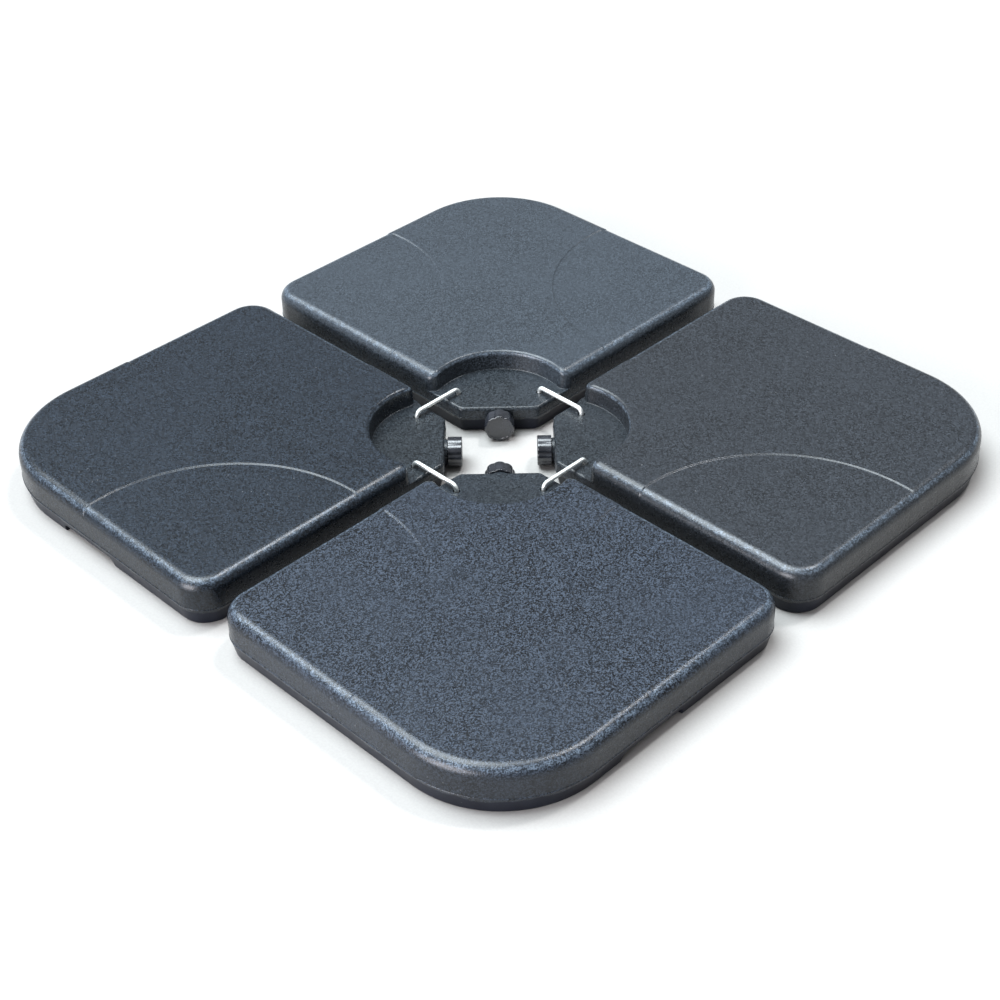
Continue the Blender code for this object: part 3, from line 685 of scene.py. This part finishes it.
def tank_mesh():
    """The whole tank: a hollow moulding whose cavity opens through the filler neck."""
    shell = combine(moulding("tank", 0.0, OUTSIDE), grip(), "DIFFERENCE")
    for mirrored in (False, True):
        shell = combine(shell, socket(mirrored, 0.0, OUTSIDE), "DIFFERENCE")
    spout = neck()
    spout.transform(neck_matrix())
    shell = combine(shell, spout, "UNION")
    shell = combine(shell, cavity(TANK_WALL), "DIFFERENCE")
    mouth_radius = NECK_BORE_RADIUS + MOUTH_CHAMFER
    bore = turned("bore", [(NECK_BORE_RADIUS, -BASE_INSET - 3 * TANK_WALL),
                           (NECK_BORE_RADIUS, NECK_LENGTH - MOUTH_CHAMFER),
                           (mouth_radius, NECK_LENGTH), (mouth_radius, NECK_LENGTH + BORE_OVERSHOOT)])
    bore.transform(neck_matrix())
    return shaded(combine(shell, bore, "DIFFERENCE"), "moulding")


# Cap, gasket and clip

def lobe_centre_radius():
    """Distance of each lobe's arc centre from the cap's axis, so that two lobes meet at the notch radius."""
    across = CAP_NOTCH_RADIUS * math.sin(LOBE_HALF_ANGLE)
    along = CAP_NOTCH_RADIUS * math.cos(LOBE_HALF_ANGLE)
    return along - math.sqrt(CAP_LOBE_RADIUS ** 2 - across ** 2)


def lobed_loop(bm, inset, height):
    """One ring of the cap's outline, eight lobes with a notch between neighbours."""
    centre_radius = lobe_centre_radius()
    across = CAP_NOTCH_RADIUS * math.sin(LOBE_HALF_ANGLE)
    half_sweep = math.asin(across / CAP_LOBE_RADIUS)
    points = []
    for lobe in range(CAP_LOBES):
        middle = 2 * math.pi * lobe / CAP_LOBES
        centre = Vector((centre_radius * math.cos(middle), centre_radius * math.sin(middle)))
        for i in range(LOBE_SEGMENTS):
            angle = middle - half_sweep + 2 * half_sweep * i / LOBE_SEGMENTS
            point = centre + CAP_LOBE_RADIUS * Vector((math.cos(angle), math.sin(angle)))
            point *= 1 - inset / CAP_RADIUS
            points.append((point.x, point.y, height))
    return add_loop(bm, points)


def cap_mesh():
    """Lobed screw cap with a shallow dish in its end and its inner thread; its frame is the neck's."""
    back = CAP_GAP
    front = CAP_GAP + CAP_LENGTH
    small = CAP_EDGE_FILLET / 2
    bm = bmesh.new()
    rings = [(small * (1 - up), back + small * out) for out, up in quarter(4)]
    rings += [(CAP_EDGE_FILLET * out, front - CAP_EDGE_FILLET * (1 - up)) for out, up in quarter(6)]
    rings.append((CAP_EDGE_FILLET + CAP_RIM_WIDTH, front))
    rings += [(CAP_EDGE_FILLET + CAP_RIM_WIDTH + CAP_DISH_DEPTH * 2 * (i + 1) / len(CAP_DISH_PROFILE),
               front - CAP_DISH_DEPTH * share) for i, share in enumerate(CAP_DISH_PROFILE)]
    loops = [lobed_loop(bm, inset, height) for inset, height in rings]
    for lower, upper in zip(loops, loops[1:]):
        bridge(bm, lower, upper)
    fill(bm, loops[0])
    fill(bm, loops[-1])
    body = mesh_from(bm, "cap")
    bore = turned("cap_bore", [(CAP_BORE_RADIUS, back - BORE_OVERSHOOT), (CAP_BORE_RADIUS, CAP_INNER_END)])
    body = combine(body, bore, "DIFFERENCE")
    ridge = thread_ridge("cap_thread", CAP_BORE_RADIUS + THREAD_SINK, CAP_THREAD_RADIUS,
                         THREAD_START + THREAD_PITCH / 2, CAP_THREAD_TURNS)
    return shaded(combine(body, ridge, "UNION"), "cap")


def gasket_mesh():
    """Washer with rounded edges between the neck's rim and the cap's end; its frame is the neck's."""
    low = NECK_LENGTH + SEAT_GAP
    high = low + GASKET_THICKNESS
    outer = CAP_BORE_RADIUS - 2 * SEAT_GAP
    rim = GASKET_THICKNESS / 4
    inner = GASKET_BORE_RADIUS
    profile = [(inner, low + rim), (inner + rim, low), (outer - rim, low), (outer, low + rim),
               (outer, high - rim), (outer - rim, high), (inner + rim, high), (inner, high - rim)]
    bm = bmesh.new()
    loops = [add_loop(bm, circle(radius, height, ROUND_SEGMENTS)) for radius, height in profile]
    for lower, upper in zip(loops, loops[1:] + loops[:1]):
        bridge(bm, lower, upper)
    return shaded(mesh_from(bm, "gasket"), "gasket", 60)


def clip_mesh():
    """Bent wire: a bar along Y through the origin, with a prong down at each end."""
    half = CLIP_SPAN / 2
    bend = CLIP_BEND_RADIUS
    tip = CLIP_TIP_HEIGHT - CLIP_BAR_HEIGHT
    thick = CLIP_WIRE / 2
    chamfer = CLIP_TIP_CHAMFER
    path = [(half, tip + chamfer * out, 90, thick - chamfer * (1 - up)) for out, up in quarter(4)]
    for i in range(WIRE_BEND_SEGMENTS + 1):
        angle = 90 * i / WIRE_BEND_SEGMENTS
        path.append((half - bend + bend * unit(angle).x, -bend + bend * unit(angle).y, angle + 90, thick))
    path += [(-y, z, 360 - heading, radius) for y, z, heading, radius in reversed(path)]
    bm = bmesh.new()
    loops = []
    for y, z, heading, radius in path:
        side = unit(heading - 90)
        ring = []
        for k in range(WIRE_SIDES):
            turn = 2 * math.pi * (k + 0.5) / WIRE_SIDES
            away = radius * math.cos(turn)
            ring.append((radius * math.sin(turn), y + away * side.x, z + away * side.y))
        loops.append(add_loop(bm, ring))
    for lower, upper in zip(loops, loops[1:]):
        bridge(bm, lower, upper)
    fill(bm, loops[0])
    fill(bm, loops[-1])
    return shaded(mesh_from(bm, "clip"), "clip")


# Materials

class Look:
    """One material under construction: short names for the nodes it uses."""

    def __init__(self, name, shift=0.0):
        self.material = bpy.data.materials.new(name)
        self.material.use_nodes = True
        self.tree = self.material.node_tree
        self.shader = self.tree.nodes["Principled BSDF"]
        self.position = self.node("ShaderNodeTexCoord").outputs["Object"]
        moved = self.node("ShaderNodeVectorMath")
        moved.inputs[1].default_value = (shift, shift * 1.7, 0.0)
        self.link(self.position, moved.inputs[0])
        self.spot = moved.outputs[0]

    def node(self, kind, **values):
        made = self.tree.nodes.new(kind)
        for key, value in values.items():
            setattr(made, key, value)
        return made

    def link(self, source, target):
        self.tree.links.new(source, target)

    def feed(self, value, target):
        """Link an output to a socket, or set the socket to a number or colour."""
        if isinstance(value, bpy.types.NodeSocket):
            self.link(value, target)
        else:
            target.default_value = value

    def noise(self, scale, detail=2.0, roughness=0.5, stretch=None):
        texture = self.node("ShaderNodeTexNoise")
        texture.inputs["Scale"].default_value = scale
        texture.inputs["Detail"].default_value = detail
        texture.inputs["Roughness"].default_value = roughness
        self.link(self.stretched(stretch), texture.inputs["Vector"])
        return texture.outputs["Fac"]

    def cells(self, scale, feature="F1"):
        texture = self.node("ShaderNodeTexVoronoi", feature=feature)
        texture.inputs["Scale"].default_value = scale
        self.link(self.spot, texture.inputs["Vector"])
        return texture.outputs["Distance"]

    def flecks(self, scale):
        """Random level from 0 to 1 for each small cell."""
        texture = self.node("ShaderNodeTexVoronoi")
        texture.inputs["Scale"].default_value = scale
        self.link(self.spot, texture.inputs["Vector"])
        parts = self.node("ShaderNodeSeparateColor")
        self.link(texture.outputs["Color"], parts.inputs[0])
        return parts.outputs[0]

    def stretched(self, stretch):
        if stretch is None:
            return self.spot
        mapping = self.node("ShaderNodeMapping")
        mapping.inputs["Scale"].default_value = stretch
        mapping.inputs["Rotation"].default_value = (0.4, 0.2, 0.7)
        self.link(self.spot, mapping.inputs["Vector"])
        return mapping.outputs[0]

    def height(self):
        parts = self.node("ShaderNodeSeparateXYZ")
        self.link(self.position, parts.inputs[0])
        return parts.outputs["Z"]

    def upward(self):
        """How far the surface faces up: 1 on top, 0 on a wall."""
        parts = self.node("ShaderNodeSeparateXYZ")
        self.link(self.node("ShaderNodeTexCoord").outputs["Normal"], parts.inputs[0])
        return parts.outputs["Z"]

    def distance(self, point):
        """Distance from a point in the piece's own frame."""
        made = self.node("ShaderNodeVectorMath", operation="DISTANCE")
        self.link(self.position, made.inputs[0])
        made.inputs[1].default_value = point
        return made.outputs["Value"]

    def math(self, operation, first, second):
        made = self.node("ShaderNodeMath", operation=operation)
        self.feed(first, made.inputs[0])
        self.feed(second, made.inputs[1])
        return made.outputs[0]

    def ramp(self, value, low, high, bottom=0.0, top=1.0):
        """Smooth change from bottom to top as a value goes from low to high."""
        made = self.node("ShaderNodeMapRange", interpolation_type="SMOOTHSTEP")
        for key, number in (("From Min", low), ("From Max", high), ("To Min", bottom), ("To Max", top)):
            made.inputs[key].default_value = number
        self.link(value, made.inputs["Value"])
        return made.outputs["Result"]

    def mix(self, share, first, second):
        made = self.node("ShaderNodeMix", data_type="RGBA")
        self.feed(share, made.inputs["Factor"])
        self.feed(first, made.inputs["A"])
        self.feed(second, made.inputs["B"])
        return made.outputs["Result"]

    def bump(self, height, strength, distance, below=None):
        made = self.node("ShaderNodeBump")
        made.inputs["Distance"].default_value = distance
        self.feed(strength, made.inputs["Strength"])
        self.link(height, made.inputs["Height"])
        if below is not None:
            self.link(below, made.inputs["Normal"])
        return made.outputs["Normal"]

    def finish(self, colour, roughness, normal, metallic=0.0, specular=0.5):
        self.feed(colour, self.shader.inputs["Base Color"])
        self.feed(roughness, self.shader.inputs["Roughness"])
        self.link(normal, self.shader.inputs["Normal"])
        self.shader.inputs["Metallic"].default_value = metallic
        self.feed(specular, self.shader.inputs["Specular IOR Level"])
        return self.material


def shade(red, green, blue):
    """Opaque colour from linear components."""
    return (red, green, blue, 1.0)


def toned(tone, share):
    """A share of a tone."""
    return shade(*(share * level for level in tone))


def grained_colour(look, tone, contrast, speckle):
    """Speckled plastic, with painted shade that darkens the walls, and painted shade that darkens and greys the
    recess floor.
    """
    colour = look.mix(speckle, toned(tone, 1 - 0.70 * contrast), toned(tone, 1 + 1.17 * contrast))
    # Painted shade: walls take a darker copy of the tone than tops, set by how far the surface faces up.
    side = look.mix(speckle, toned(tone, 0.12), toned(tone, 1.25))
    colour = look.mix(look.ramp(look.upward(), 0.10, 0.75), side, colour)
    # Painted shade: a darker, greyer colour low on the recess floor, inside the recess wall.
    painted_recess_shade = look.mix(speckle, shade(0.0045, 0.0060, 0.0075), shade(0.033, 0.040, 0.047))
    low = look.ramp(look.height(), *RECESS_SHADE_HEIGHTS)
    near = look.ramp(look.distance((RECESS_CENTRE, RECESS_CENTRE, RECESS_FLOOR)), *RECESS_SHADE_DISTANCES)
    colour = look.mix(look.math("MULTIPLY", low, near), colour, painted_recess_shade)
    return look.mix(look.ramp(look.noise(7, 4.0, 0.6), 0.35, 0.7, 0.0, 0.35), colour, toned(tone, 1.25))


def marked(look, colour, speckle, patch):
    """Add scuffs, dust, and a speckled band along the top edges, partly wear and partly painted highlight, to a
    colour.
    """
    scratch = look.noise(60, 3.0, 0.7, (9.0, 1.2, 5.0))
    scuff = look.math("MULTIPLY", look.ramp(scratch, 0.66, 0.74), look.ramp(patch, 0.5, 0.66))
    colour = look.mix(look.math("MULTIPLY", scuff, 0.30), colour, shade(0.20, 0.205, 0.22))
    dust = look.math("MULTIPLY", look.ramp(look.cells(85), 0.075, 0.045),
                     look.ramp(look.noise(11, 2.0), 0.56, 0.64))
    colour = look.mix(look.math("MULTIPLY", dust, 0.35), colour, shade(0.34, 0.34, 0.35))
    height = look.height()
    # Partly wear and partly painted highlight: a pale blue speckled band high on the top fillets.
    edge = look.math("MULTIPLY", look.ramp(height, *WEAR_AND_HIGHLIGHT_FROM), look.ramp(height, *WEAR_AND_HIGHLIGHT_TO))
    wear_and_highlight = look.math("MULTIPLY", edge, look.ramp(look.noise(120, 4.0, 0.7), 0.36, 0.62, 0.25, 1.0))
    wear_and_highlight = look.math("MULTIPLY", wear_and_highlight, look.ramp(speckle, 0.0, 1.0, 0.12, 0.60))
    return look.mix(wear_and_highlight, colour, shade(0.145, 0.185, 0.235))


def tank_look(name, shift, tone, contrast):
    """Polyethylene, grained from just under the parting line up, smoother and darker below it; the darker colour
    is partly painted shade of the lower wall, which faces down.
    """
    look = Look(name, shift)
    wander = look.math("MULTIPLY", look.math("SUBTRACT", look.noise(38, 3.0), 0.5), 0.010)
    level = look.math("ADD", look.height(), wander)
    grained = look.ramp(level, PARTING_HEIGHT - GRAIN_START, PARTING_HEIGHT - GRAIN_FULL)
    speckle = look.ramp(look.flecks(760), 0.25, 1.0)
    patch = look.noise(26, 3.0, 0.6)

    # Below the parting line: smooth plastic whose dark colour is partly painted shade.
    smooth_and_shaded = look.mix(look.ramp(patch, 0.3, 0.75), shade(0.006, 0.007, 0.012), shade(0.012, 0.014, 0.021))
    colour = look.mix(grained, smooth_and_shaded, grained_colour(look, tone, contrast, speckle))
    colour = marked(look, colour, speckle, patch)

    finish = look.node("ShaderNodeMix", data_type="FLOAT")
    look.feed(grained, finish.inputs["Factor"])
    look.feed(look.ramp(patch, 0.3, 0.7, 0.30, 0.44), finish.inputs["A"])
    look.feed(look.ramp(look.noise(180, 3.0), 0.3, 0.7, 0.25, 0.33), finish.inputs["B"])

    waves = look.bump(look.noise(9, 2.0), 0.15, 0.004)
    grain = look.bump(look.noise(560, 3.0, 0.6), look.ramp(grained, 0.0, 1.0, 0.05, 0.42), 0.0005, waves)
    fine = look.bump(look.cells(520, "SMOOTH_F1"), look.ramp(grained, 0.0, 1.0, 0.02, 0.16), 0.0004, grain)
    shine = look.ramp(grained, 0.0, 1.0, 0.14, 0.34)
    return look.finish(colour, finish.outputs["Result"], fine, specular=shine)


def cap_look(name, shift):
    """Glossy black moulded plastic with smears and faint pale marks."""
    look = Look(name, shift)
    marks = look.noise(300, 4.0, 0.7, (1.0, 6.0, 1.0))
    smear = look.noise(55, 3.0, 0.6)
    colour = look.mix(look.ramp(smear, 0.35, 0.7), shade(0.008, 0.009, 0.012), shade(0.016, 0.018, 0.024))
    colour = look.mix(look.ramp(marks, 0.64, 0.78, 0.0, 0.25), colour, shade(0.07, 0.075, 0.085))
    finish = look.ramp(smear, 0.3, 0.75, 0.20, 0.30)
    pitted = look.bump(look.noise(900, 2.0), 0.10, 0.0002)
    return look.finish(colour, finish, look.bump(marks, 0.08, 0.0002, pitted), specular=0.9)


def gasket_look(name, shift):
    """Matt black rubber with a talc bloom."""
    look = Look(name, shift)
    bloom = look.noise(220, 4.0, 0.65)
    colour = look.mix(look.ramp(bloom, 0.4, 0.75), shade(0.014, 0.014, 0.015), shade(0.045, 0.045, 0.047))
    finish = look.ramp(bloom, 0.3, 0.7, 0.62, 0.85)
    return look.finish(colour, finish, look.bump(look.noise(1400, 2.0), 0.25, 0.0002), specular=0.3)


def clip_look(name, shift):
    """Bright zinc-plated wire: drawn lines along its bar, dull patches and small dark pits."""
    look = Look(name, shift)
    drawn = look.noise(900, 3.0, 0.6, (1.0, 0.06, 1.0))
    patch = look.noise(140, 4.0, 0.6)
    colour = look.mix(look.ramp(patch, 0.35, 0.7), shade(0.97, 0.99, 0.97), shade(0.88, 0.91, 0.89))
    pits = look.ramp(look.cells(420), 0.10, 0.04)
    spotted = look.math("MULTIPLY", pits, look.ramp(patch, 0.48, 0.6))
    colour = look.mix(look.math("MULTIPLY", spotted, 0.55), colour, shade(0.30, 0.29, 0.26))
    finish = look.ramp(patch, 0.3, 0.7, 0.42, 0.58)
    return look.finish(colour, finish, look.bump(drawn, 0.15, 0.0002), metallic=1.0)


def sand_look(name):
    """Dry sand: grains of several tones."""
    look = Look(name)
    grains = look.noise(1500, 3.0, 0.7)
    tone = look.noise(60, 3.0)
    colour = look.mix(look.ramp(grains, 0.3, 0.7), shade(0.26, 0.19, 0.11), shade(0.62, 0.50, 0.33))
    colour = look.mix(look.ramp(tone, 0.4, 0.7, 0.0, 0.3), colour, shade(0.40, 0.32, 0.22))
    finish = look.ramp(tone, 0.3, 0.7, 0.85, 0.97)
    return look.finish(colour, finish, look.bump(grains, 0.8, 0.0008), specular=0.3)


def floor_look():
    """Seamless pale paper."""
    look = Look("floor_paper")
    fibre = look.noise(350, 3.0)
    colour = look.mix(look.ramp(fibre, 0.3, 0.7), shade(0.352, 0.338, 0.325), shade(0.372, 0.358, 0.345))
    return look.finish(colour, look.ramp(fibre, 0.3, 0.7, 0.86, 0.94), look.bump(fibre, 0.05, 0.0003),
                       specular=0.1)


# Scene

def place(name, mesh, material, node, slot, matrix):
    """Add a piece that stands for a CAD node and moves with its body."""
    piece = add_object(name, mesh.copy())
    piece.data.materials.clear()
    piece.data.materials.append(material)
    piece.matrix_world = matrix
    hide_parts(node)
    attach(piece, BODY_OF[node])
    return piece


def add_pieces():
    """All detailed pieces, and the sand's material on the nodes that stay."""
    tank = tank_mesh()
    cap = cap_mesh()
    gasket = gasket_mesh()
    clip = clip_mesh()
    sand = sand_look("sand_grains")
    for k, quadrant in enumerate(QUADRANTS):
        turn = Matrix.Rotation(math.radians(90 * k), 4, "Z")
        # The quadrant's tone carries its painted light and shade.
        tone = PAINTED_LIGHT_TONES[quadrant]
        plastic = tank_look("polyethylene_" + quadrant, TANK_SHIFT * k, tone, GRAIN_CONTRAST[quadrant])
        place("moulding_" + quadrant, tank, plastic, "tank_" + quadrant, "tank_plastic", turn)
        screwed = turn @ neck_matrix()
        gloss = cap_look("black_gloss_" + quadrant, CAP_SHIFT * k)
        place("screw_cap_" + quadrant, cap, gloss, "cap_" + quadrant, "cap_plastic", screwed)
        rubber = gasket_look("rubber_" + quadrant, GASKET_SHIFT * k)
        place("washer_" + quadrant, gasket, rubber, "gasket_" + quadrant, "gasket_rubber", screwed)
        hooked = turn @ Matrix.Translation((CLIP_DISTANCE, 0, CLIP_BAR_HEIGHT))
        node = CLIP_NODES[k]
        place("wire_" + node, clip, clip_look("zinc_" + node, CLIP_SHIFT * k), node, "clip_zinc", hooked)
        filling = frame["nodes"]["ballast_" + quadrant]
        filling.data.materials.clear()
        filling.data.materials.append(sand)


def add_floor():
    """Pale floor under the set."""
    bm = bmesh.new()
    places = [FLOOR_HALF_SIDE * (2 * i / FLOOR_SQUARES - 1) for i in range(FLOOR_SQUARES + 1)]
    rows = [[bm.verts.new((x, y, FLOOR_HEIGHT)) for x in places] for y in places]
    for lower, upper in zip(rows, rows[1:]):
        for i in range(FLOOR_SQUARES):
            bm.faces.new((lower[i], lower[i + 1], upper[i + 1], upper[i]))
    mesh = bpy.data.meshes.new("floor")
    bm.to_mesh(mesh)
    bm.free()
    floor = add_object("floor", mesh, floor_look())


def add_light(name, direction, spread, strength, colour):
    """Distant light that shines from a direction onto the set."""
    lamp = bpy.data.lights.new(name, "SUN")
    lamp.angle = math.radians(spread)
    lamp.energy = strength
    lamp.color = colour
    item = bpy.data.objects.new(name, lamp)
    bpy.context.scene.collection.objects.link(item)
    away = Vector(direction).normalized()
    item.location = away * 3
    item.rotation_euler = away.to_track_quat("Z", "Y").to_euler()


def add_world():
    """Even pale light from all round."""
    world = bpy.data.worlds.new("studio")
    bpy.context.scene.world = world
    world.use_nodes = True
    background = world.node_tree.nodes["Background"]
    background.inputs["Color"].default_value = WORLD_COLOUR
    background.inputs["Strength"].default_value = WORLD_STRENGTH


def add_camera():
    """Camera set by its direction from the set's middle, its distance, roll, lens and shift."""
    azimuth = math.radians(CAMERA_AZIMUTH)
    elevation = math.radians(CAMERA_ELEVATION)
    back = Vector((math.sin(azimuth) * math.cos(elevation), -math.cos(azimuth) * math.cos(elevation),
                   math.sin(elevation)))
    right = Vector((math.cos(azimuth), math.sin(azimuth), 0))
    matrix = Matrix((right, back.cross(right), back)).transposed().to_4x4()
    matrix = matrix @ Matrix.Rotation(math.radians(CAMERA_ROLL), 4, "Z")
    matrix.translation = back * CAMERA_DISTANCE
    lens = bpy.data.cameras.new("camera")
    lens.lens = CAMERA_LENS
    lens.sensor_width = CAMERA_SENSOR
    lens.shift_y = CAMERA_SHIFT
    lens.clip_end = CAMERA_CLIP_END
    camera = bpy.data.objects.new("camera", lens)
    bpy.context.scene.collection.objects.link(camera)
    camera.matrix_world = matrix
    bpy.context.scene.camera = camera


add_pieces()
add_floor()
for light in LIGHTS:
    add_light(*light)
add_world()
add_camera()
bpy.context.scene.view_settings.view_transform = "Standard"
